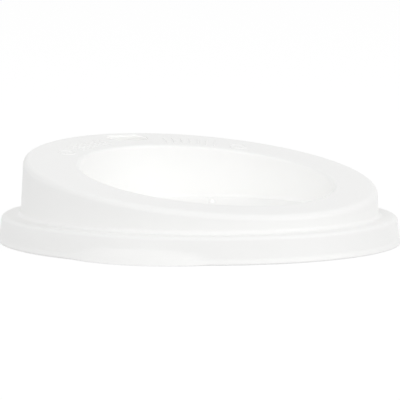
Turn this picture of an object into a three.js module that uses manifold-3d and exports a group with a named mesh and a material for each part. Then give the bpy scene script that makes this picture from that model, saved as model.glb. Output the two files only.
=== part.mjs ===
// A slanted takeaway coffee cup lid, moulded as one thin wall. Millimetres, +Z up.
// The origin is in the middle of the circle that the skirt stands on. The drinking side faces -Y.
import * as THREE from 'three';
import Module from 'manifold-3d';

const wasm = await Module();
wasm.setup();

// Driving dimensions of the wall and the skirt that snaps over the cup's rolled rim
const wall = 0.5;
const skirtRadius = 46.3;
const skirtDraft = 0.105;
const lipHeight = 1.2;
const lipFlare = 0.3;
const lipRounding = 0.25;
const flareBend = 2.4;
const snapHeight = 1.6;
const snapDepth = 0.75;
const rollSpace = 2.75;
const shoulderRounding = 1.0;
const ledgeWidth = 4.35;

// Thumb tab, a flared stretch of the skirt's lower edge
const tabAzimuth = THREE.MathUtils.degToRad(39.5);
const tabHalfAngle = THREE.MathUtils.degToRad(19.5);
const tabHeight = 2.8;
const tabReach = 2.8;

// Raised body, its slanted drinking ring and the seal that hangs inside the cup's mouth
const bodyDraft = 0.047;
const footFillet = 1.0;
const lowRise = 3.9;
const ringTilt = THREE.MathUtils.degToRad(8.47);
const ringRounding = 1.43;
const ringWidthHigh = 15.1;
const ringWidthLow = 8.9;
const sealDepth = 2.8;

// Dish sunk into the ring
const floorRise = 1.15;
const dishDraft = 0.05;
const dishRounding = 0.8;
const dishFillet = 0.8;

// Drinking hole in the high side of the ring
const sipDistance = 34.75;
const sipAzimuth = THREE.MathUtils.degToRad(267.15);
const sipWidth = 10.1;
const sipDepth = 5.95;
const sipOuterCorner = 2.4;
const sipInnerCorner = 2.6;

// Vent pip on the dish's floor
const ventDistance = 13.9;
const ventAzimuth = THREE.MathUtils.degToRad(225.5);
const ventBaseRadius = 0.75;
const ventTopRadius = 0.5;
const ventHeight = 0.95;
const ventBore = 0.5;

// Facets of the model, and the most of a section's side that a rounding takes up
const azimuthSteps = 80;
const roundSteps = { large: 5, medium: 4, small: 3, slight: 2 };
const snapShares = [0, 0.3, 0.5, 0.7, 1];
const ventSteps = 12;
const roundingShare = 0.48;

// Heights and radii that follow from the driving dimensions
const ledgeHeight = lipHeight + snapHeight + rollSpace + wall;
const ledgeUnderside = ledgeHeight - wall;
const shoulderRadius = skirtRadius - skirtDraft * ledgeHeight;
const bodyRadius = shoulderRadius - ledgeWidth;
const ringSlope = Math.tan(ringTilt);
const ringCentreHeight = ledgeHeight + lowRise + ringSlope * bodyRadius;
const dishMouthRadius = bodyRadius - (ringWidthHigh + ringWidthLow) / 2;
const dishOffset = (ringWidthHigh - ringWidthLow) / 2;
const floorHeight = ledgeHeight + floorRise;
const cutterReach = 4 * wall;

const skirtAt = (height) => skirtRadius - skirtDraft * height;
const bodyAt = (height) => bodyRadius - bodyDraft * (height - ledgeHeight);
const dishRadiusAt = (height) => dishMouthRadius + dishDraft * (height - ringCentreHeight);

// Height of the ring's slanted plane over a point of the section at an azimuth, sunk by a vertical drop
function ringAt(radius, azimuth, drop) {
  return ringCentreHeight - ringSlope * radius * Math.sin(azimuth) - drop;
}

// Distance from the lid's axis to a circle round the dish's own axis, which lies nearer the low side
function fromAxis(circleRadius, azimuth) {
  const along = dishOffset * Math.sin(azimuth);
  const across = dishOffset * Math.cos(azimuth);
  return along + Math.sqrt(circleRadius ** 2 - across ** 2);
}

// Where a nearly upright wall, given as its radius at a height, meets the slanted plane
function meetRing(radiusAt, azimuth, drop) {
  const passes = 6;
  let height = ringCentreHeight;
  for (let pass = 0; pass < passes; pass += 1) {
    height = ringAt(radiusAt(height), azimuth, drop);
  }
  return [radiusAt(height), height];
}

// How far the thumb tab has grown at an azimuth: 1 in its middle, 0 at its ends and beyond
function tabGrowth(azimuth) {
  const turn = Math.atan2(Math.sin(azimuth - tabAzimuth), Math.cos(azimuth - tabAzimuth));
  return Math.max(0, 1 - (turn / tabHalfAngle) ** 2);
}

// A corner of the section: its place, its rounding's radius and the facets of that rounding
function corner(radius, height, rounding = 0, steps = 0) {
  return { at: new THREE.Vector2(radius, height), rounding, steps };
}

// The points of a corner, on an arc that touches both sides and takes its share of the shorter one
function roundedCorner(before, here, after) {
  if (here.rounding === 0) {
    return [here.at];
  }
  const toBefore = before.at.clone().sub(here.at);
  const toAfter = after.at.clone().sub(here.at);
  const room = roundingShare * Math.min(toBefore.length(), toAfter.length());
  toBefore.normalize();
  toAfter.normalize();
  const half = Math.acos(THREE.MathUtils.clamp(toBefore.dot(toAfter), -1, 1)) / 2;
  const tangent = Math.min(here.rounding / Math.tan(half), room);
  const radius = tangent * Math.tan(half);
  const middle = toBefore.clone().add(toAfter).normalize();
  const centre = here.at.clone().addScaledVector(middle, radius / Math.sin(half));
  const first = here.at.clone().addScaledVector(toBefore, tangent).sub(centre);
  const last = here.at.clone().addScaledVector(toAfter, tangent).sub(centre);
  const sweep = Math.atan2(first.cross(last), first.dot(last));
  const points = [];
  for (let step = 0; step <= here.steps; step += 1) {
    const turned = first.clone().rotateAround(new THREE.Vector2(), sweep * step / here.steps);
    points.push(turned.add(centre));
  }
  return points;
}

// The outer skin from the middle of the dish out over the ring and down to the lip
function outerCorners(azimuth) {
  const growth = tabGrowth(azimuth);
  const flareHeight = THREE.MathUtils.lerp(lipHeight, tabHeight, growth);
  const dishWall = (height) => fromAxis(dishRadiusAt(height), azimuth);
  return [
    corner(0, floorHeight),
    corner(dishWall(floorHeight), floorHeight, dishFillet, roundSteps.medium),
    corner(...meetRing(dishWall, azimuth, 0), dishRounding, roundSteps.small),
    corner(...meetRing(bodyAt, azimuth, 0), ringRounding, roundSteps.large),
    corner(bodyRadius, ledgeHeight, footFillet, roundSteps.small),
    corner(shoulderRadius, ledgeHeight, shoulderRounding, roundSteps.medium),
    corner(skirtAt(flareHeight), flareHeight, flareBend, roundSteps.small),
    corner(skirtRadius + lipFlare + tabReach * growth, 0, lipRounding, roundSteps.slight),
  ];
}

// The snap bead that catches under the cup's rolled rim, squeezed and faded out behind the thumb tab
function snapCorners(flareHeight, growth) {
  const edge = snapHeight * 0.15;
  const height = THREE.MathUtils.lerp(snapHeight - 2 * edge, edge, growth);
  return snapShares.map((share) => {
    const z = flareHeight + edge + height * share;
    const swell = snapDepth * (1 - growth) * Math.sin(Math.PI * share);
    return corner(skirtAt(z) - wall - swell, z);
  });
}

// The underside from the lip up past the snap bead and the seal, and back to the middle of the dish
function innerCorners(azimuth) {
  const growth = tabGrowth(azimuth);
  const flareHeight = THREE.MathUtils.lerp(lipHeight, tabHeight, growth);
  const lipRadius = skirtRadius + lipFlare + tabReach * growth;
  const lean = (lipRadius - skirtAt(flareHeight)) / flareHeight;
  const ringDrop = wall / Math.cos(ringTilt);
  const bodyInside = (z) => bodyAt(z) - wall;
  const dishInside = (z) => fromAxis(dishRadiusAt(z) + wall, azimuth);
  const sealTip = ledgeUnderside - sealDepth;
  return [
    corner(lipRadius - wall * Math.hypot(1, lean), 0),
    corner(skirtAt(flareHeight) - wall, flareHeight, flareBend, roundSteps.slight),
    ...snapCorners(flareHeight, growth),
    corner(shoulderRadius - wall, ledgeUnderside, shoulderRounding - wall, roundSteps.slight),
    corner(bodyRadius, ledgeUnderside),
    corner(bodyRadius, sealTip),
    corner(bodyInside(sealTip), sealTip),
    corner(...meetRing(bodyInside, azimuth, ringDrop), ringRounding - wall, roundSteps.small),
    corner(...meetRing(dishInside, azimuth, ringDrop), dishRounding + wall, roundSteps.small),
    corner(dishInside(floorHeight), floorHeight - wall, dishFillet + wall, roundSteps.small),
    corner(0, floorHeight - wall),
  ];
}

// The closed section of the lid's wall at an azimuth, from the axis round to the axis again
function sectionAt(azimuth) {
  const corners = [...outerCorners(azimuth), ...innerCorners(azimuth)];
  return corners.flatMap((here, index) => roundedCorner(corners[index - 1], here, corners[index + 1]));
}

// A closed surface through sections set all the way round the Z axis, each starting and ending on it
function loftRound(sectionOf, steps) {
  const sections = Array.from({ length: steps }, (_, step) => sectionOf(2 * Math.PI * step / steps));
  const rows = sections[0].length - 2;
  const top = steps * rows;
  const bottom = top + 1;
  const vertices = [];
  const triangles = [];
  sections.forEach((section, step) => {
    const azimuth = 2 * Math.PI * step / steps;
    section.slice(1, -1).forEach((point) => {
      vertices.push(point.x * Math.cos(azimuth), point.x * Math.sin(azimuth), point.y);
    });
    const here = step * rows;
    const next = ((step + 1) % steps) * rows;
    triangles.push(top, here, next, bottom, next + rows - 1, here + rows - 1);
    for (let row = 0; row < rows - 1; row += 1) {
      triangles.push(here + row, here + row + 1, next + row + 1);
      triangles.push(here + row, next + row + 1, next + row);
    }
  });
  vertices.push(0, 0, sections[0][0].y, 0, 0, sections[0].at(-1).y);
  return { vertices, triangles };
}

function toSolid({ vertices, triangles }) {
  const mesh = new wasm.Mesh({
    numProp: 3,
    vertProperties: new Float32Array(vertices),
    triVerts: new Uint32Array(triangles),
  });
  return new wasm.Manifold(mesh);
}

function toGeometry(solid) {
  const mesh = solid.getMesh();
  const geometry = new THREE.BufferGeometry();
  geometry.setAttribute('position', new THREE.BufferAttribute(mesh.vertProperties, 3));
  geometry.setIndex(new THREE.BufferAttribute(mesh.triVerts, 1));
  geometry.computeVertexNormals();
  return geometry;
}

// Straight prism through an outline, with both ends closed, placed by a matrix
function prism(outline, low, high, matrix) {
  const count = outline.length;
  const triangles = [];
  const faces = THREE.ShapeUtils.triangulateShape(outline, []);
  faces.forEach(([a, b, c]) => {
    triangles.push(a + count, b + count, c + count, c, b, a);
  });
  for (let index = 0; index < count; index += 1) {
    const next = (index + 1) % count;
    triangles.push(index, next, next + count, index, next + count, index + count);
  }
  const vertices = [low, high].flatMap((z) => outline.flatMap((point) => {
    return new THREE.Vector3(point.x, point.y, z).applyMatrix4(matrix).toArray();
  }));
  return toSolid({ vertices, triangles });
}

// Outline of the drinking hole: nearly straight on the outer side, round on the side of the dish
function sipOutline() {
  const side = sipWidth / 2;
  const end = sipDepth / 2;
  const shape = new THREE.Shape();
  shape.absarc(side - sipOuterCorner, sipOuterCorner - end, sipOuterCorner, -Math.PI / 2, 0);
  shape.absarc(side - sipInnerCorner, end - sipInnerCorner, sipInnerCorner, 0, Math.PI / 2);
  shape.absarc(sipInnerCorner - side, end - sipInnerCorner, sipInnerCorner, Math.PI / 2, Math.PI);
  shape.absarc(sipOuterCorner - side, sipOuterCorner - end, sipOuterCorner, Math.PI, 1.5 * Math.PI);
  return shape.extractPoints(roundSteps.large).shape;
}

// The tool that cuts the drinking hole, square to the slanted ring, its outer side away from the axis
function sipCutter() {
  const turned = new THREE.Matrix4().makeRotationZ(sipAzimuth + Math.PI / 2);
  const matrix = new THREE.Matrix4().makeRotationX(-ringTilt).multiply(turned);
  const x = sipDistance * Math.cos(sipAzimuth);
  const y = sipDistance * Math.sin(sipAzimuth);
  matrix.setPosition(x, y, ringAt(sipDistance, sipAzimuth, 0));
  return prism(sipOutline(), -cutterReach, cutterReach, matrix);
}

// A round outline with a given radius
function circleOutline(radius) {
  const circle = new THREE.Shape().absarc(0, 0, radius, 0, 2 * Math.PI);
  return circle.extractPoints(ventSteps / 2).shape.slice(0, -1);
}

// The small pip on the dish's floor, rooted in the wall below it
function ventPip() {
  const profile = [
    new THREE.Vector2(0, ventHeight),
    new THREE.Vector2(ventTopRadius, ventHeight),
    new THREE.Vector2(ventBaseRadius, 0),
    new THREE.Vector2(ventBaseRadius, -wall / 2),
    new THREE.Vector2(0, -wall / 2),
  ];
  return toSolid(loftRound(() => profile, ventSteps));
}

function buildLid() {
  const ventX = ventDistance * Math.cos(ventAzimuth);
  const ventY = ventDistance * Math.sin(ventAzimuth);
  const ventPlace = new THREE.Matrix4().makeTranslation(ventX, ventY, floorHeight);
  const shell = toSolid(loftRound(sectionAt, azimuthSteps));
  const bore = prism(circleOutline(ventBore / 2), -cutterReach, 2 * ventHeight, ventPlace);
  return shell.subtract(sipCutter()).add(ventPip().translate(ventX, ventY, floorHeight)).subtract(bore);
}

const plastic = new THREE.MeshStandardMaterial({ color: '#f3f3f1', roughness: 0.42, metalness: 0 });
const lid = new THREE.Mesh(toGeometry(buildLid()), plastic);
lid.name = 'cup_lid';

const part = new THREE.Group();
part.add(lid);

export default part;
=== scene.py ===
"""Dresses the slanted coffee cup lid: its moulded shell, raised marks, plastic and a small studio."""

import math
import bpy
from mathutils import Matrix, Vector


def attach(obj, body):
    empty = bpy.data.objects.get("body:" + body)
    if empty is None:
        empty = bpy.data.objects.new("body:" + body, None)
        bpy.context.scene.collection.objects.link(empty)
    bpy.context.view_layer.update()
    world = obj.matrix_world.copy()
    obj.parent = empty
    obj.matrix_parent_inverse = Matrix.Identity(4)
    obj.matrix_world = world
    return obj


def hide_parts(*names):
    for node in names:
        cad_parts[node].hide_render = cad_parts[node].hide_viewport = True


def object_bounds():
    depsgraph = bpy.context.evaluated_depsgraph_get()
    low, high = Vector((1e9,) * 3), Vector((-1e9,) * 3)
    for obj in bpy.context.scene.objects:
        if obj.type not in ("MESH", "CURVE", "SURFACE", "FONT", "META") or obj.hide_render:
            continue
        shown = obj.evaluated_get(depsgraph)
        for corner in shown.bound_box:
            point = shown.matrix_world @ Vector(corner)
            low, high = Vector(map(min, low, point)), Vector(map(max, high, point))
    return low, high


bl_info = {
    "name": "Slanted Cup Lid",
    "version": (1, 0, 0),
    "blender": (4, 5, 0),
    "location": "View3D > Sidebar > Cup Lid",
    "description": "Moulds a slanted coffee cup lid over its construction model and lights it in a studio",
    "category": "Object",
}

from types import SimpleNamespace

import bmesh
import bpy
from bpy.props import FloatProperty, IntProperty, PointerProperty, StringProperty
from mathutils import Matrix, Vector

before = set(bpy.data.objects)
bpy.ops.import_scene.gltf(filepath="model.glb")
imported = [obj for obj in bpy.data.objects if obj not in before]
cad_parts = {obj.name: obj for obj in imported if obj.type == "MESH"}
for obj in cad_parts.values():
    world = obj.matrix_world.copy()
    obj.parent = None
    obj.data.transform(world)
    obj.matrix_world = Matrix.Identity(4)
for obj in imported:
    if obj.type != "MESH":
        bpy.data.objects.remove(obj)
cad_low, cad_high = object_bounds()

# The shapes are modelled in millimetres, where the mesh operators are at their most exact
MILLIMETRE = 0.001
# How far the lip's corner lies outside the construction model's box before it is rounded, in millimetres
CORNER_ALLOWANCE = 0.085


def length(label, description, millimetres):
    """A length property with its default given in millimetres."""
    return FloatProperty(
        name=label,
        description=description,
        default=millimetres * MILLIMETRE,
        min=0.0,
        unit="LENGTH",
        precision=5,
    )


def angle(label, description, degrees):
    """An angle property with its default given in degrees."""
    return FloatProperty(
        name=label, description=description, default=math.radians(degrees), unit="ROTATION"
    )


def number(label, description, value):
    """A plain number property, for slopes and light levels."""
    return FloatProperty(name=label, description=description, default=value)


def count(label, description, value):
    """A whole number property."""
    return IntProperty(name=label, description=description, default=value)


def colour(label, description, value):
    """A colour property that holds an sRGB hex value."""
    return StringProperty(name=label, description=description, default=value)


class LidLengths(bpy.types.PropertyGroup):
    wall: length("Wall", "Thickness of the moulded wall", 0.5)
    lip_radius: length(
        "Lip Radius",
        "Radius to the lip's corner, before rounding",
        cad_high.x / MILLIMETRE + CORNER_ALLOWANCE,
    )
    lip_flare: length("Lip Flare", "How far the lip stands out from the skirt", 0.3)
    lip_height: length("Lip Height", "Height at which the lip starts to flare", 1.2)
    lip_rounding: length("Lip Rounding", "Rounding of the lip's outer edge", 0.25)
    flare_bend: length("Flare Bend", "Radius of the bend from skirt to lip", 2.4)
    snap_height: length("Snap Height", "Height of the bead that catches under the cup's rim", 1.6)
    snap_depth: length("Snap Depth", "How far the snap bead stands in", 0.75)
    roll_space: length("Roll Space", "Room for the cup's rolled rim above the bead", 2.75)
    shoulder_rounding: length("Shoulder Rounding", "Rounding between skirt and ledge", 1.0)
    ledge_width: length("Ledge Width", "Width of the ledge round the body", 4.35)
    foot_fillet: length("Foot Fillet", "Fillet between ledge and body", 1.0)
    low_rise: length("Low Rise", "Height of the body over the ledge at its low side", 3.8)
    ring_rounding: length("Ring Rounding", "Rounding of the ring's outer edge", 1.43)
    ring_width_high: length("High Ring Width", "Width of the ring at the drinking side", 15.1)
    ring_width_low: length("Low Ring Width", "Width of the ring at the low side", 8.9)
    seal_depth: length("Seal Depth", "Height of the seal that hangs inside the cup's mouth", 2.8)
    floor_rise: length("Floor Rise", "Height of the dish's floor over the ledge", 1.15)
    dish_rounding: length("Dish Rounding", "Rounding of the dish's mouth", 0.8)
    dish_fillet: length("Dish Fillet", "Fillet between the dish's wall and floor", 0.8)
    tab_height: length("Tab Height", "Height at which the thumb tab starts to flare", 2.8)
    tab_reach: length("Tab Reach", "How far the thumb tab stands out past the lip", 2.8)
    sip_distance: length("Hole Distance", "Distance of the drinking hole from the lid's axis", 34.75)
    sip_width: length("Hole Width", "Width of the drinking hole", 10.1)
    sip_depth: length("Hole Depth", "Depth of the drinking hole across the ring", 5.95)
    sip_outer_corner: length("Hole Outer Corner", "Corner radius on the drinker's side", 2.4)
    sip_inner_corner: length("Hole Inner Corner", "Corner radius on the side of the dish", 2.6)
    edge_rounding: length("Edge Rounding", "Rounding of the holes' edges", 0.16)
    vent_distance: length("Vent Distance", "Distance of the vent pip from the lid's axis", 13.9)
    vent_base: length("Vent Base", "Radius of the vent pip at its base", 0.75)
    vent_top: length("Vent Top", "Radius of the vent pip at its top", 0.5)
    vent_height: length("Vent Height", "Height of the vent pip", 0.95)
    vent_bore: length("Vent Bore", "Diameter of the vent", 0.5)
    mark_start: length("Mark Start", "Distance of the raised bars' inner ends from the lid's axis", 29.5)
    mark_end: length("Mark End", "Distance of the raised bars' outer ends from the lid's axis", 34.2)
    mark_width: length("Mark Width", "Width of a raised bar", 0.5)
    mark_relief: length("Mark Relief", "How far the raised marks stand up from the ring", 0.16)
    token_radius: length("Token Radius", "Radius of the raised circle beside the bars", 2.2)


class LidAngles(bpy.types.PropertyGroup):
    ring_tilt: angle("Ring Tilt", "Slant of the drinking ring", 8.47)
    tab_azimuth: angle("Tab Azimuth", "Direction of the thumb tab, from +X towards +Y", 39.5)
    tab_half_angle: angle("Tab Half Angle", "Half of the thumb tab's spread", 19.5)
    sip_azimuth: angle("Hole Azimuth", "Direction of the drinking hole", 267.15)
    vent_azimuth: angle("Vent Azimuth", "Direction of the vent pip", 225.5)
    mark_first: angle("First Mark", "Angle from the drinking hole to the nearest bar", 15.0)
    mark_pitch: angle("Mark Pitch", "Angle from one bar to the next", 3.6)
    token_angle: angle("Token Angle", "Angle from the drinking hole to the raised circle", 47.0)
    skirt_draft: number("Skirt Draft", "Slope of the skirt", 0.105)
    body_draft: number("Body Draft", "Slope of the body", 0.047)
    dish_draft: number("Dish Draft", "Slope of the dish's wall", 0.05)


class LidFineness(bpy.types.PropertyGroup):
    turn_steps: count("Turn Steps", "Steps of the shell round its axis", 240)
    large_round: count("Large Rounding", "Segments of a large rounding", 12)
    small_round: count("Small Rounding", "Segments of a small rounding", 8)
    slight_round: count("Slight Rounding", "Segments of a slight rounding", 4)
    ring_rows: count("Ring Rows", "Rows of faces across the ring", 7)
    floor_rows: count("Floor Rows", "Rows of faces across the dish's floor", 14)
    mark_count: count("Mark Count", "Raised bars on each side of the hole", 7)


class LidColours(bpy.types.PropertyGroup):
    plastic: colour("Plastic", "The white of the moulded plastic", "#F5F5F4")
    # Painted light: the dish is painted a brighter white than the rest of the plastic, for the light that
    # bounces round inside it
    dish: colour("Dish", "The slightly brighter white of the polished dish", "#FBFBFA")
    floor: colour("Floor", "The studio's pale floor", "#E6E6E6")


class StudioLights(bpy.types.PropertyGroup):
    world: number("World", "Level of the light from all round", 0.655)
    right: number("Right", "Level of the soft light on the right", 0.285)
    front: number("Front", "Level of the soft light in front", 0.225)
    high: number("High", "Level of the soft light high on the left", 0.061)
    through: number("Through", "Level of the light that comes through the wall", 0.2)
    behind_hole: number("Behind Hole", "Level of the glow behind the hole", 4.6)


def in_millimetres(group):
    """A group's lengths as plain numbers in millimetres."""
    names = type(group).__annotations__
    return SimpleNamespace(**{name: getattr(group, name) / MILLIMETRE for name in names})


def lid_form(scene):
    """The driving sizes with the heights and radii that follow from them, in millimetres."""
    form = in_millimetres(scene.lid_lengths)
    angles = scene.lid_angles
    form.skirt_draft = angles.skirt_draft
    form.body_draft = angles.body_draft
    form.dish_draft = angles.dish_draft
    form.slope = math.tan(angles.ring_tilt)
    form.tab_azimuth = angles.tab_azimuth
    form.tab_half_angle = angles.tab_half_angle
    form.sip_azimuth = angles.sip_azimuth
    form.vent_azimuth = angles.vent_azimuth
    form.skirt_radius = form.lip_radius - form.lip_flare
    form.ledge = form.lip_height + form.snap_height + form.roll_space + form.wall
    form.shoulder_radius = form.skirt_radius - form.skirt_draft * form.ledge
    form.body_radius = form.shoulder_radius - form.ledge_width
    form.ring = form.ledge + form.low_rise + form.slope * form.body_radius
    form.body_top_radius = form.body_radius - form.body_draft * (form.ring - form.ledge)
    form.dish_offset = (form.ring_width_high - form.ring_width_low) / 2
    form.mouth_radius = form.body_radius - (form.ring_width_high + form.ring_width_low) / 2
    form.floor = form.ledge + form.floor_rise
    form.floor_radius = form.mouth_radius - form.dish_draft * (form.ring - form.floor)
    return form


# Where the snap bead starts and ends in its share of the skirt's height
BEAD_START, BEAD_END = 0.15, 0.85
# How much further the bead's corner stands in than the bead does after rounding
BEAD_CORNER = 1.35
# Roundings on the underside, in millimetres
LIP_INSIDE_ROUNDING = 0.1
FLARE_INSIDE_BEND = 1.0
BEAD_FOOT_ROUNDING = 0.25
BEAD_CREST_ROUNDING = 0.35
SEAL_ROOT_ROUNDING = 0.3
SEAL_TIP_ROUNDING = 0.12


def section_corners(form, fine):
    """The shell's section from the axis out over the ring, down to the lip and back along the underside.

    Each corner is its radius, height, rounding and the rounding's segments. The ring is still level.
    """
    large, small, slight = fine.large_round, fine.small_round, fine.slight_round
    under_ledge = form.ledge - form.wall
    seal_tip = under_ledge - form.seal_depth
    seal_inside = form.body_radius - form.wall + form.body_draft * (form.ledge - seal_tip)
    skirt_at_lip = form.skirt_radius - form.skirt_draft * form.lip_height
    bead_low = form.lip_height + BEAD_START * form.snap_height
    bead_high = form.lip_height + BEAD_END * form.snap_height
    bead_middle = (bead_low + bead_high) / 2
    bead_corner = BEAD_CORNER * form.snap_depth
    inner_shoulder = form.shoulder_rounding - form.wall
    inner_ring = form.ring_rounding - form.wall

    def inside_skirt(height):
        return form.skirt_radius - form.skirt_draft * height - form.wall

    return [
        (0.0, form.floor, 0.0, 0),
        (form.floor_radius, form.floor, form.dish_fillet, small),
        (form.mouth_radius, form.ring, form.dish_rounding, small),
        (form.body_top_radius, form.ring, form.ring_rounding, large),
        (form.body_radius, form.ledge, form.foot_fillet, small),
        (form.shoulder_radius, form.ledge, form.shoulder_rounding, small),
        (skirt_at_lip, form.lip_height, form.flare_bend, slight),
        (form.lip_radius, 0.0, form.lip_rounding, slight),
        (form.lip_radius - form.wall, 0.0, LIP_INSIDE_ROUNDING, slight),
        (skirt_at_lip - form.wall, form.lip_height, FLARE_INSIDE_BEND, slight),
        (inside_skirt(bead_low), bead_low, BEAD_FOOT_ROUNDING, slight),
        (inside_skirt(bead_middle) - bead_corner, bead_middle, BEAD_CREST_ROUNDING, small),
        (inside_skirt(bead_high), bead_high, BEAD_FOOT_ROUNDING, slight),
        (form.shoulder_radius - form.wall, under_ledge, inner_shoulder, slight),
        (form.body_radius, under_ledge, SEAL_ROOT_ROUNDING, slight),
        (form.body_radius, seal_tip, SEAL_TIP_ROUNDING, slight),
        (seal_inside, seal_tip, SEAL_TIP_ROUNDING, slight),
        (form.body_top_radius - form.wall, form.ring - form.wall, inner_ring, small),
        (form.mouth_radius + form.wall, form.ring - form.wall, form.dish_rounding + form.wall, small),
        (form.floor_radius + form.wall, form.floor - form.wall, form.dish_fillet + form.wall, small),
        (0.0, form.floor - form.wall, 0.0, 0),
    ]


def round_corner(bm, vert, before, after, rounding, segments):
    """Rounds a corner of a flat outline to a radius."""
    here = vert.co.copy()
    half = (before - here).angle(after - here) / 2
    bmesh.ops.bevel(
        bm,
        geom=[vert],
        offset=rounding / math.tan(half),
        offset_type="OFFSET",
        segments=segments,
        profile=0.5,
        affect="VERTICES",
        material=-1,
    )


def flat_outline(bm, corners):
    """A flat face through a list of (point, rounding, segments), with its corners rounded."""
    places = [Vector(point) for point, _, _ in corners]
    verts = [bm.verts.new(place) for place in places]
    edges = [bm.edges.new(pair) for pair in zip(verts, verts[1:] + verts[:1])]
    others = set(bm.faces)
    bmesh.ops.contextual_create(bm, geom=edges)
    for index, (_, rounding, segments) in enumerate(corners):
        if rounding:
            after = places[(index + 1) % len(places)]
            round_corner(bm, verts[index], places[index - 1], after, rounding, segments)
    return next(face for face in bm.faces if face not in others)


# Differences that count as none, in millimetres
ON_AXIS = 1e-6
MARK_WELD = 1e-5
PLANE_WELD = 1e-5
SAME_PLACE = 1e-4


def spin_section(bm, form, fine):
    """Turns the section once round the lid's axis."""
    corners = section_corners(form, fine)
    flat_outline(bm, [((radius, 0, height), *rest) for radius, height, *rest in corners])
    on_axis = [edge for edge in bm.edges if all(abs(vert.co.x) < ON_AXIS for vert in edge.verts)]
    bmesh.ops.delete(bm, geom=bm.faces[:], context="FACES_ONLY")
    bmesh.ops.delete(bm, geom=on_axis, context="EDGES")
    for height, rows in ((form.ring, fine.ring_rows), (form.floor, fine.floor_rows)):
        for level in (height, height - form.wall):
            flat = [edge for edge in bm.edges if on_level(edge, level)]
            longest = max(flat, key=lambda edge: edge.calc_length())
            bmesh.ops.subdivide_edges(bm, edges=[longest], cuts=rows - 1)
    bmesh.ops.spin(
        bm,
        geom=bm.verts[:] + bm.edges[:],
        cent=(0, 0, 0),
        axis=(0, 0, 1),
        dvec=(0, 0, 0),
        angle=2 * math.pi,
        steps=fine.turn_steps,
        use_merge=True,
    )
    bmesh.ops.remove_doubles(bm, verts=bm.verts, dist=SAME_PLACE)


def on_level(element, height):
    """Whether an edge or a face lies flat at a height."""
    return all(abs(vert.co.z - height) < SAME_PLACE for vert in element.verts)


def open_round(bm, height, centre, turned, half_width, half_depth):
    """Takes out the flat faces at a height that reach into a turned rectangle, to make room for a hole."""
    back = Matrix.Rotation(-turned, 2)

    def inside(vert):
        across, along = back @ (vert.co.xy - centre)
        return abs(across) < half_width and abs(along) < half_depth

    level = [face for face in bm.faces if on_level(face, height)]
    taken = [face for face in level if any(inside(vert) for vert in face.verts)]
    bmesh.ops.delete(bm, geom=taken, context="FACES")


def close_round(bm, height):
    """Fills the flat opening at a height between its edge and the edge of the hole set into it."""
    edges = [edge for edge in bm.edges if edge.is_boundary and on_level(edge, height)]
    bmesh.ops.triangle_fill(bm, use_beauty=True, edges=edges, normal=(0, 0, 1))


def sink(bm, face, inwards, down):
    """Insets a face and moves the inner face down."""
    bmesh.ops.inset_region(
        bm, faces=[face], use_boundary=True, use_even_offset=True, thickness=inwards, depth=-down
    )


def arc_step(radius, step, segments):
    """How far one step of a quarter circle goes across and along, when it starts out going across."""
    start = math.pi / 2 * step / segments
    end = math.pi / 2 * (step + 1) / segments
    return radius * (math.sin(end) - math.sin(start)), radius * (math.cos(start) - math.cos(end))


def round_step(bm, face, rounding, segments, way):
    """Sinks a face round a hole's edge: way 1 goes in from the flat, way -1 comes out to the flat again."""
    for step in range(segments):
        across, along = arc_step(rounding, step, segments)
        if way > 0:
            sink(bm, face, across, along)
        else:
            sink(bm, face, -along, across)


def facing_up(face):
    """Turns a flat face's front to the top."""
    face.normal_update()
    if face.normal.z < 0:
        face.normal_flip()
    return face


# Flat faces are taken out this far round a hole, in millimetres, and filled again up to its edge
HOLE_MARGIN = 0.3


def cut_drinking_hole(bm, form, fine):
    """The drinking hole with its rounded edges, set into the ring's upper and lower skins."""
    centre = Vector((math.cos(form.sip_azimuth), math.sin(form.sip_azimuth))) * form.sip_distance
    turned = form.sip_azimuth + math.pi / 2
    side = form.sip_width / 2 + form.edge_rounding
    end = form.sip_depth / 2 + form.edge_rounding
    levels = (form.ring, form.ring - form.wall)
    for level in levels:
        open_round(bm, level, centre, turned, side + HOLE_MARGIN, end + HOLE_MARGIN)
    outer = form.sip_outer_corner + form.edge_rounding
    inner = form.sip_inner_corner + form.edge_rounding
    corners = [
        ((-side, -end, 0), outer, fine.large_round),
        ((side, -end, 0), outer, fine.large_round),
        ((side, end, 0), inner, fine.large_round),
        ((-side, end, 0), inner, fine.large_round),
    ]
    place = Matrix.Translation((*centre, form.ring)) @ Matrix.Rotation(turned, 4, "Z")
    face = facing_up(flat_outline(bm, [(place @ Vector(point), *rest) for point, *rest in corners]))
    round_step(bm, face, form.edge_rounding, fine.slight_round, 1)
    sink(bm, face, 0.0, form.wall - 2 * form.edge_rounding)
    round_step(bm, face, form.edge_rounding, fine.slight_round, -1)
    bmesh.ops.delete(bm, geom=[face], context="FACES_ONLY")
    for level in levels:
        close_round(bm, level)


# Roundings of the vent pip at its foot and its top, in millimetres
PIP_FOOT = 0.3
PIP_CROWN = 0.2


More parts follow.
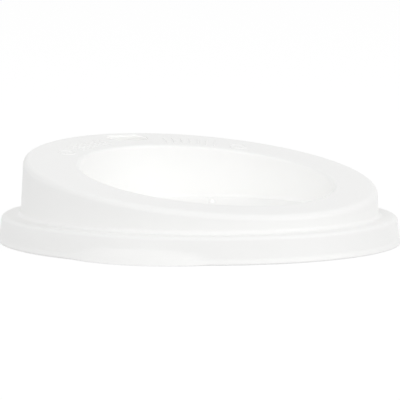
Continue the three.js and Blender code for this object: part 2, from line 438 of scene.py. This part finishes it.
def raise_vent_pip(bm, form, fine):
    """The pip on the dish's floor with the vent through it. A face sunk by a negative depth rises."""
    centre = Vector((math.cos(form.vent_azimuth), math.sin(form.vent_azimuth))) * form.vent_distance
    base = form.vent_base + PIP_FOOT
    levels = (form.floor, form.floor - form.wall)
    for level in levels:
        open_round(bm, level, centre, 0.0, base + HOLE_MARGIN, base + HOLE_MARGIN)
    place = Matrix.Translation((*centre, form.floor))
    circle = bmesh.ops.create_circle(
        bm, cap_ends=True, radius=base, segments=8 * fine.slight_round, matrix=place
    )
    face = facing_up(circle["verts"][0].link_faces[0])
    for step in range(fine.slight_round):
        across, along = arc_step(PIP_FOOT, step, fine.slight_round)
        sink(bm, face, across, -along)
    sink(bm, face, form.vent_base - form.vent_top, -(form.vent_height - PIP_FOOT - PIP_CROWN))
    for step in range(fine.slight_round):
        along, across = arc_step(PIP_CROWN, step, fine.slight_round)
        sink(bm, face, across, -along)
    sink(bm, face, form.vent_top - PIP_CROWN - form.vent_bore / 2, 0.0)
    sink(bm, face, 0.0, form.vent_height + form.wall)
    bmesh.ops.delete(bm, geom=[face], context="FACES_ONLY")
    for level in levels:
        close_round(bm, level)


def share_between(value, low, high):
    """How far a value has gone from low to high, kept between 0 and 1."""
    return min(1.0, max(0.0, (value - low) / (high - low)))


def tab_growth(form, azimuth):
    """How far the thumb tab has grown at an azimuth: 1 in its middle, 0 at its ends and beyond."""
    turn = math.remainder(azimuth - form.tab_azimuth, 2 * math.pi)
    return max(0.0, 1 - (turn / form.tab_half_angle) ** 2)


# The skirt is cut into bands this high for the thumb tab, which bends on over its last part, in millimetres
TAB_BAND = 0.3
TAB_FADE = 0.8
# The power that bends the thumb tab outward
TAB_BEND = 1.5
# Room between the seal and the part of the skirt that the tab moves, in millimetres
SEAL_CLEARANCE = 0.5


def pull_tab(bm, form):
    """Fades the snap bead out behind the thumb tab and pulls the tab out of the skirt's lower edge."""
    top = form.tab_height + TAB_FADE
    for level in range(1, math.ceil(top / TAB_BAND)):
        bmesh.ops.bisect_plane(
            bm,
            geom=bm.verts[:] + bm.edges[:] + bm.faces[:],
            dist=PLANE_WELD,
            plane_co=(0, 0, TAB_BAND * level),
            plane_no=(0, 0, 1),
        )
    inner_limit = form.body_radius + SEAL_CLEARANCE
    for vert in bm.verts:
        radius = vert.co.xy.length
        growth = tab_growth(form, math.atan2(vert.co.y, vert.co.x))
        height = vert.co.z
        if growth == 0 or radius < inner_limit or height > top:
            continue
        inside = form.skirt_radius - form.skirt_draft * height - form.wall
        if form.lip_height < height and radius < inside:
            radius += growth * (inside - radius)
        start = form.lip_height + (form.tab_height - form.lip_height) * growth + TAB_FADE
        reach = form.tab_reach * growth * share_between(start - height, 0, start) ** TAB_BEND
        vert.co.xy = vert.co.xy.normalized() * (radius + reach)


# The ring's flat ends just inside its outer rounding. The dish moves as one up to just outside its mouth,
# and its wall is told from the body's by a wider circle. All in millimetres.
ROUNDING_CLEARANCE = 0.2
DISH_MOVES_TO = 1
DISH_REACHES_TO = 2


def ring_flat_end(form):
    """The radius at which the ring's flat ends."""
    return form.body_top_radius - form.ring_rounding - ROUNDING_CLEARANCE


def move_dish(bm, form):
    """Moves the dish towards the low side. The ring takes up the move and the body stays where it is."""
    still = ring_flat_end(form)
    for vert in bm.verts:
        radius = vert.co.xy.length
        if radius < still:
            vert.co.y += form.dish_offset * share_between(radius, still, form.mouth_radius + DISH_MOVES_TO)


def slant(bm, form):
    """Slants the ring by stretching the walls of the body and of the dish, which keep their draft.

    The height is taken last, from where the draft has put each vertex, so the ring stays in one plane.
    """
    dish_axis = Vector((0, form.dish_offset))
    dish_reach = form.mouth_radius + DISH_REACHES_TO
    dish_foot = form.floor + form.dish_fillet
    dish_top = form.ring - form.dish_rounding - form.wall
    body_foot = form.ledge + form.foot_fillet
    body_top = form.ring - form.ring_rounding
    for vert in bm.verts:
        height = vert.co.z
        from_dish = vert.co.xy - dish_axis
        in_dish = from_dish.length < dish_reach
        low, high = (dish_foot, dish_top) if in_dish else (body_foot, body_top)
        slope_here = form.slope * share_between(height, low, high)
        rise = -slope_here * vert.co.y
        if in_dish and from_dish.length > form.floor_radius - form.dish_fillet:
            vert.co.xy += from_dish.normalized() * form.dish_draft * rise
        elif not in_dish and vert.co.xy.length > ring_flat_end(form):
            vert.co.xy -= vert.co.xy.normalized() * form.body_draft * rise
        vert.co.z -= slope_here * vert.co.y


SHARP_ANGLE = math.radians(35)


def mark_sharp_edges(bm):
    """Keeps edges sharper than an angle crisp and shades the rest smooth."""
    for face in bm.faces:
        face.smooth = True
    for edge in bm.edges:
        edge.smooth = edge.calc_face_angle(0.0) < SHARP_ANGLE


def close_up(bm):
    """Turns all faces outward, and stops with an error if the surface isn't closed."""
    bmesh.ops.recalc_face_normals(bm, faces=bm.faces)
    loose = [edge for edge in bm.edges if not edge.is_manifold]
    if loose:
        raise RuntimeError(f"{len(loose)} edges of the surface are open")


def finish_piece(bm, name, material):
    """Turns a mesh in millimetres into a finished object of the lid's body."""
    bmesh.ops.scale(bm, vec=(MILLIMETRE,) * 3, verts=bm.verts)
    mark_sharp_edges(bm)
    mesh = bpy.data.meshes.new(name)
    bm.to_mesh(mesh)
    bm.free()
    piece = bpy.data.objects.new(name, mesh)
    bpy.context.scene.collection.objects.link(piece)
    mesh.materials.append(material)
    normals = piece.modifiers.new("Flat faces stay flat", "WEIGHTED_NORMAL")
    normals.keep_sharp = True
    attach(piece, "root")
    return piece


def linear(value):
    """An sRGB hex colour as linear red, green, blue and alpha."""
    channels = [int(value[place : place + 2], 16) / 255 for place in (1, 3, 5)]
    return [c / 12.92 if c <= 0.04045 else ((c + 0.055) / 1.055) ** 2.4 for c in channels] + [1.0]


def add_node(tree, kind, inputs=(), **settings):
    """Adds a node with its settings. inputs gives values, or sockets to link, by socket name or number."""
    node = tree.nodes.new(kind)
    for name, value in settings.items():
        setattr(node, name, value)
    for key, value in dict(inputs).items():
        if isinstance(value, bpy.types.NodeSocket):
            tree.links.new(value, node.inputs[key])
        else:
            node.inputs[key].default_value = value
    return node


def new_material(name):
    """A material with an empty node tree, made again if it is there already."""
    material = bpy.data.materials.get(name) or bpy.data.materials.new(name)
    material.use_nodes = True
    material.node_tree.nodes.clear()
    return material, material.node_tree


# The dish's polish, and its brighter white, which is painted light, start across a narrow band of its
# mouth, from outside to inside, in metres
POLISH_FROM = 0.0006
POLISH_TO = -0.0002


def moulded_polypropylene(scene):
    """White injection-moulded polypropylene, satin outside and a little more polished in the dish, which is
    also painted a brighter white as painted light for the light that bounces inside it.

    It gives the eye soft broad highlights on the outside, and closer, brighter ones in the dish. In a Mix
    node, socket 0 is the factor, sockets 2 and 3 are two numbers, and sockets 6 and 7 are two colours.
    """
    form = lid_form(scene)
    material, tree = new_material("moulded_white_polypropylene")
    place = add_node(tree, "ShaderNodeTexCoord").outputs["Object"]
    centred = add_node(
        tree, "ShaderNodeVectorMath", {0: place, 1: (0, -form.dish_offset * MILLIMETRE, 0)}, operation="ADD"
    )
    split = add_node(tree, "ShaderNodeSeparateXYZ", {0: centred.outputs[0]})
    flat = add_node(tree, "ShaderNodeCombineXYZ", {0: split.outputs[0], 1: split.outputs[1]})
    distance = add_node(tree, "ShaderNodeVectorMath", {0: flat.outputs[0]}, operation="LENGTH")
    edge = form.mouth_radius * MILLIMETRE
    in_dish = add_node(
        tree,
        "ShaderNodeMapRange",
        {"Value": distance.outputs["Value"], "From Min": edge + POLISH_FROM, "From Max": edge + POLISH_TO},
    )
    # Flow of the melt leaves a faint large cloudiness in the gloss, about 12 mm across
    cloud = add_node(tree, "ShaderNodeTexNoise", {"Vector": place, "Scale": 80.0, "Detail": 2.0})
    satin = add_node(
        tree, "ShaderNodeMapRange", {"Value": cloud.outputs["Fac"], "To Min": 0.42, "To Max": 0.5}
    )
    polish = add_node(
        tree, "ShaderNodeMapRange", {"Value": cloud.outputs["Fac"], "To Min": 0.32, "To Max": 0.40}
    )
    roughness = add_node(
        tree, "ShaderNodeMix", {0: in_dish.outputs[0], 2: satin.outputs[0], 3: polish.outputs[0]}
    )
    # The mould's fine spark grain, about 0.35 mm across, is only felt as a softer highlight
    grain = add_node(tree, "ShaderNodeTexNoise", {"Vector": place, "Scale": 2800.0, "Detail": 3.0})
    bump = add_node(
        tree, "ShaderNodeBump", {"Height": grain.outputs["Fac"], "Strength": 0.06, "Distance": 0.00004}
    )
    colours = scene.lid_colours
    # Painted light: the dish gets a brighter white than the outside, for the light that bounces round
    # inside it
    paint = add_node(
        tree,
        "ShaderNodeMix",
        {0: in_dish.outputs[0], 6: linear(colours.plastic), 7: linear(colours.dish)},
        data_type="RGBA",
    )
    shader = add_node(
        tree,
        "ShaderNodeBsdfPrincipled",
        {
            "Base Color": paint.outputs[2],
            "Roughness": roughness.outputs[0],
            "Normal": bump.outputs[0],
            "IOR": 1.49,
            "Specular IOR Level": 0.5,
        },
    )
    add_node(tree, "ShaderNodeOutputMaterial", {"Surface": shader.outputs[0]})
    return material


class CUP_LID_OT_mould_shell(bpy.types.Operator):
    """Mould the lid's shell over its construction model"""

    bl_idname = "cup_lid.mould_shell"
    bl_label = "Mould Shell"

    def execute(self, context):
        scene = context.scene
        form = lid_form(scene)
        fine = scene.lid_fineness
        bm = bmesh.new()
        spin_section(bm, form, fine)
        pull_tab(bm, form)
        move_dish(bm, form)
        cut_drinking_hole(bm, form, fine)
        raise_vent_pip(bm, form, fine)
        slant(bm, form)
        close_up(bm)
        shell = finish_piece(bm, "moulded_lid_shell", moulded_polypropylene(scene))
        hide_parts("cup_lid")
        return {"FINISHED"}


def stand_on_ring(form, bm, verts):
    """Brings marks that were made on the level ring down to the slanted one."""
    for vert in verts:
        vert.co.z -= form.slope * vert.co.y


def round_edges(bm, edges, offset, segments):
    """Rounds edges of a mark."""
    bmesh.ops.bevel(
        bm, geom=edges, offset=offset, segments=segments, profile=0.5, affect="EDGES", material=-1
    )


# How deep a bar reaches into the ring, in millimetres
BAR_SUNK = 0.1
# Roundings of a bar's ends, as a share of its width, and of its top, as a share of its relief
BAR_END_SHARE, BAR_END_SEGMENTS = 0.45, 4
BAR_TOP_SHARE, BAR_TOP_SEGMENTS = 0.7, 3
# Faces whose normal rises less than this are a bar's sides
SIDE_NORMAL = 0.5


def add_bar(bm, form, azimuth):
    """One raised bar with rounded edges, along a radius of the ring."""
    long = form.mark_end - form.mark_start
    middle = (form.mark_start + form.mark_end) / 2
    tall = form.mark_relief + BAR_SUNK
    raised = Matrix.Translation((middle, 0, form.ring + tall / 2 - BAR_SUNK))
    place = Matrix.Rotation(azimuth, 4, "Z") @ raised
    size = Matrix.Diagonal((long, form.mark_width, tall, 1))
    verts = bmesh.ops.create_cube(bm, size=1.0, matrix=place @ size)["verts"]
    every = {edge for vert in verts for edge in vert.link_edges}
    upright = [edge for edge in every if abs(edge.verts[0].co.z - edge.verts[1].co.z) > SAME_PLACE]
    round_edges(bm, upright, form.mark_width * BAR_END_SHARE, BAR_END_SEGMENTS)
    here = place.translation.xy

    def on_rim(edge):
        beside = any(abs(face.normal.z) < SIDE_NORMAL for face in edge.link_faces)
        near = (edge.verts[0].co.xy - here).length < long
        return beside and near and on_level(edge, form.ring + form.mark_relief)

    rim = [edge for edge in bm.edges if on_rim(edge)]
    round_edges(bm, rim, form.mark_relief * BAR_TOP_SHARE, BAR_TOP_SEGMENTS)


# Segments of a raised circle, across and round it, and of its dot, round it and from top to bottom
CIRCLE_ACROSS, CIRCLE_ROUND = 16, 48
DOT_ROUND, DOT_DOWN = 24, 12
# The dot's radius as a share of half the circle's line
DOT_SHARE = 1.6


def add_token(bm, form, azimuth):
    """A raised circle with a raised dot in its middle."""
    middle = (form.mark_start + form.mark_end) / 2
    place = Matrix.Rotation(azimuth, 4, "Z") @ Matrix.Translation((middle, 0, form.ring))
    half = form.mark_width / 2
    profile = bmesh.ops.create_circle(bm, cap_ends=False, radius=1.0, segments=CIRCLE_ACROSS)["verts"]
    bmesh.ops.transform(
        bm,
        verts=profile,
        matrix=place
        @ Matrix.Translation((form.token_radius - half, 0, 0))
        @ Matrix.Rotation(math.pi / 2, 4, "X")
        @ Matrix.Diagonal((half, form.mark_relief, half, 1)),
    )
    bmesh.ops.spin(
        bm,
        geom=profile + list({edge for vert in profile for edge in vert.link_edges}),
        cent=place.translation,
        axis=(0, 0, 1),
        dvec=(0, 0, 0),
        angle=2 * math.pi,
        steps=CIRCLE_ROUND,
        use_merge=True,
    )
    dot = place @ Matrix.Diagonal((half * DOT_SHARE, half * DOT_SHARE, form.mark_relief, 1))
    bmesh.ops.create_uvsphere(bm, u_segments=DOT_ROUND, v_segments=DOT_DOWN, radius=1.0, matrix=dot)


class CUP_LID_OT_raise_marks(bpy.types.Operator):
    """Raise the plain bars and circles on the drinking ring"""

    bl_idname = "cup_lid.raise_marks"
    bl_label = "Raise Marks"

    def execute(self, context):
        scene = context.scene
        form = lid_form(scene)
        angles = scene.lid_angles
        hole = form.sip_azimuth
        bm = bmesh.new()
        for side in (-1, 1):
            for index in range(scene.lid_fineness.mark_count):
                add_bar(bm, form, hole + side * (angles.mark_first + index * angles.mark_pitch))
            add_token(bm, form, hole + side * angles.token_angle)
        stand_on_ring(form, bm, bm.verts)
        bmesh.ops.remove_doubles(bm, verts=bm.verts, dist=MARK_WELD)
        close_up(bm)
        finish_piece(bm, "raised_ring_marks", moulded_polypropylene(scene))
        return {"FINISHED"}


# The camera stands off the low end of the lid's left side, far away with a long lens, and looks at a point
# near the lid's axis. Lengths are in metres, and the sensor's width in millimetres.
VIEW_AZIMUTH = math.radians(147.0)
CAMERA_DISTANCE = 0.6139
CAMERA_HEIGHT = 0.0742
AIM_HEIGHT = 0.00924
AIM_ASIDE = 0.00006
CAMERA_ROLL = math.radians(0.309)
PICTURE_WIDTH = 400
FOCAL_PIXELS = 2670.0
SENSOR_WIDTH = 36.0
CLIP_START, CLIP_END = 0.01, 50


def add_camera(scene):
    """A long lens at the low angle of the picture."""
    turned = Matrix.Rotation(VIEW_AZIMUTH, 4, "Z")
    data = bpy.data.cameras.new("camera")
    data.sensor_width = SENSOR_WIDTH
    data.lens = FOCAL_PIXELS / PICTURE_WIDTH * SENSOR_WIDTH
    data.clip_start = CLIP_START
    data.clip_end = CLIP_END
    camera = bpy.data.objects.new("camera", data)
    scene.collection.objects.link(camera)
    place = turned @ Vector((0, -CAMERA_DISTANCE, CAMERA_HEIGHT))
    aim = turned @ Vector((AIM_ASIDE, 0, AIM_HEIGHT))
    facing = (aim - place).to_track_quat("-Z", "Y").to_matrix().to_4x4()
    camera.matrix_world = Matrix.Translation(place) @ facing @ Matrix.Rotation(CAMERA_ROLL, 4, "Z")
    scene.camera = camera


def white_for_the_eye(tree, seen, lit):
    """Mixes a shader that the camera, reflections and clear things see with one that lights the scene."""
    path = add_node(tree, "ShaderNodeLightPath").outputs
    looks = path["Is Camera Ray"]
    for ray in ("Is Glossy Ray", "Is Transmission Ray"):
        looks = add_node(tree, "ShaderNodeMath", {0: looks, 1: path[ray]}, operation="MAXIMUM").outputs[0]
    return add_node(tree, "ShaderNodeMixShader", {0: looks, 1: lit, 2: seen})


WHITE = (1, 1, 1, 1)


def add_world(scene):
    """Even light from all round, seen as plain white."""
    world = bpy.data.worlds.new("studio")
    scene.world = world
    world.use_nodes = True
    tree = world.node_tree
    tree.nodes.clear()
    seen = add_node(tree, "ShaderNodeBackground", {"Color": WHITE, "Strength": 1.0})
    lit = add_node(tree, "ShaderNodeBackground", {"Color": WHITE, "Strength": scene.studio_lights.world})
    mixed = white_for_the_eye(tree, seen.outputs[0], lit.outputs[0])
    add_node(tree, "ShaderNodeOutputWorld", {"Surface": mixed.outputs[0]})


# The share of the seen floor that takes shadows, and the glow of the rest, which makes up for it
FLOOR_SHADOW = 0.12
PAPER_GLOW = 1.03


def studio_floor_paint(scene):
    """A pale floor that is seen as white paper with a light shadow, and is clear from below."""
    material, tree = new_material("pale_studio_floor")
    paint = linear(scene.lid_colours.floor)
    lit = add_node(tree, "ShaderNodeBsdfDiffuse", {"Color": paint})
    paper = add_node(tree, "ShaderNodeBsdfDiffuse", {"Color": WHITE})
    glow = add_node(tree, "ShaderNodeEmission", {"Color": WHITE, "Strength": PAPER_GLOW})
    seen = add_node(
        tree, "ShaderNodeMixShader", {0: FLOOR_SHADOW, 1: glow.outputs[0], 2: paper.outputs[0]}
    )
    mixed = white_for_the_eye(tree, seen.outputs[0], lit.outputs[0])
    below = add_node(tree, "ShaderNodeNewGeometry").outputs["Backfacing"]
    clear = add_node(tree, "ShaderNodeBsdfTransparent")
    sided = add_node(tree, "ShaderNodeMixShader", {0: below, 1: mixed.outputs[0], 2: clear.outputs[0]})
    add_node(tree, "ShaderNodeOutputMaterial", {"Surface": sided.outputs[0]})
    return material


# The floor's radius and its depth under the lid, in metres
FLOOR_RADIUS = 6.0
FLOOR_SEGMENTS = 64
FLOOR_GAP = 0.0001


def add_floor(scene):
    """A wide round floor just under the lid."""
    bm = bmesh.new()
    bmesh.ops.create_circle(bm, cap_ends=True, radius=FLOOR_RADIUS, segments=FLOOR_SEGMENTS)
    for face in bm.faces:
        facing_up(face)
    mesh = bpy.data.meshes.new("studio_floor")
    bm.to_mesh(mesh)
    bm.free()
    floor = bpy.data.objects.new("studio_floor", mesh)
    floor.location.z = cad_low.z - FLOOR_GAP
    scene.collection.objects.link(floor)
    mesh.materials.append(studio_floor_paint(scene))


# Distance and side of the soft square lights, in metres
LIGHT_DISTANCE = 1.6
LIGHT_SIDE = 1.2
# Each soft light's direction, to the right of the camera's, and its elevation, in degrees
SOFT_LIGHTS = {"right": (70, 28), "front": (-25, 28), "high": (-60, 55)}
# The lights inside the lid, in millimetres: how high they lie, the wide one's room to the body, the small
# one's radius, and how far it lies behind the middle of the drinking hole
WIDE_GLOW_HEIGHT = 0.5
WIDE_GLOW_CLEARANCE = 1
SMALL_GLOW_HEIGHT = 4
SMALL_GLOW_RADIUS = 6
SMALL_GLOW_BEHIND = 1.7


def link_light(scene, name, data):
    """Puts a light into the scene, where the camera doesn't see it."""
    light = bpy.data.objects.new(name, data)
    light.visible_camera = False
    scene.collection.objects.link(light)
    return light


def add_soft_light(scene, name, level, azimuth, elevation):
    """A soft square light aimed at the lid. Its level is the brightness of a white card that faces it."""
    data = bpy.data.lights.new(name, "AREA")
    data.size = LIGHT_SIDE
    data.energy = level * math.pi**2 * LIGHT_DISTANCE**2
    turn, rise = math.radians(azimuth), math.radians(elevation)
    flat = math.cos(rise)
    away = Vector((math.sin(turn) * flat, -math.cos(turn) * flat, math.sin(rise)))
    facing = away.to_track_quat("Z", "Y").to_matrix().to_4x4()
    link_light(scene, name, data).matrix_world = Matrix.Translation(away * LIGHT_DISTANCE) @ facing


def add_inner_light(scene, name, level, place, radius):
    """A round light that shines up inside the lid, like the daylight that comes through the thin wall."""
    data = bpy.data.lights.new(name, "AREA")
    data.shape = "DISK"
    data.size = 2 * radius * MILLIMETRE
    data.energy = level * (math.pi * data.size / 2) ** 2
    light = link_light(scene, name, data)
    light.location = Vector(place) * MILLIMETRE
    light.rotation_euler.x = math.pi


def add_lights(scene):
    """The soft lights round the lid and the glow inside it."""
    levels = scene.studio_lights
    for name, (aside, elevation) in SOFT_LIGHTS.items():
        azimuth = math.degrees(VIEW_AZIMUTH) + aside
        add_soft_light(scene, name + "_light", getattr(levels, name), azimuth, elevation)
    form = lid_form(scene)
    wide = form.body_radius - WIDE_GLOW_CLEARANCE
    add_inner_light(scene, "light_through_wall", levels.through, (0, 0, WIDE_GLOW_HEIGHT), wide)
    behind = form.sip_distance - SMALL_GLOW_BEHIND
    place = (
        behind * math.cos(form.sip_azimuth),
        behind * math.sin(form.sip_azimuth),
        SMALL_GLOW_HEIGHT,
    )
    add_inner_light(scene, "light_behind_hole", levels.behind_hole, place, SMALL_GLOW_RADIUS)


class CUP_LID_OT_set_stage(bpy.types.Operator):
    """Set up the camera, the floor and the lights"""

    bl_idname = "cup_lid.set_stage"
    bl_label = "Set Stage"

    def execute(self, context):
        scene = context.scene
        scene.view_settings.view_transform = "Standard"
        add_camera(scene)
        add_world(scene)
        add_floor(scene)
        add_lights(scene)
        return {"FINISHED"}


class CUP_LID_PT_sidebar(bpy.types.Panel):
    """The operators and the sizes in the sidebar"""

    bl_label = "Cup Lid"
    bl_idname = "CUP_LID_PT_sidebar"
    bl_space_type = "VIEW_3D"
    bl_region_type = "UI"
    bl_category = "Cup Lid"

    def draw(self, context):
        scene = context.scene
        for operator in OPERATORS:
            self.layout.operator(operator.bl_idname)
        for group in GROUPS:
            values = getattr(scene, group)
            for name in type(values).__annotations__:
                self.layout.prop(values, name)


OPERATORS = (CUP_LID_OT_set_stage, CUP_LID_OT_mould_shell, CUP_LID_OT_raise_marks)
GROUPS = {
    "lid_lengths": LidLengths,
    "lid_angles": LidAngles,
    "lid_fineness": LidFineness,
    "lid_colours": LidColours,
    "studio_lights": StudioLights,
}
CLASSES = (*GROUPS.values(), *OPERATORS, CUP_LID_PT_sidebar)


def register():
    for item in CLASSES:
        bpy.utils.register_class(item)
    for name, group in GROUPS.items():
        setattr(bpy.types.Scene, name, PointerProperty(type=group))


def unregister():
    for name in GROUPS:
        delattr(bpy.types.Scene, name)
    for item in reversed(CLASSES):
        bpy.utils.unregister_class(item)


def main():
    register()
    bpy.ops.cup_lid.set_stage()
    bpy.ops.cup_lid.mould_shell()
    bpy.ops.cup_lid.raise_marks()


if __name__ == "__main__":
    main()
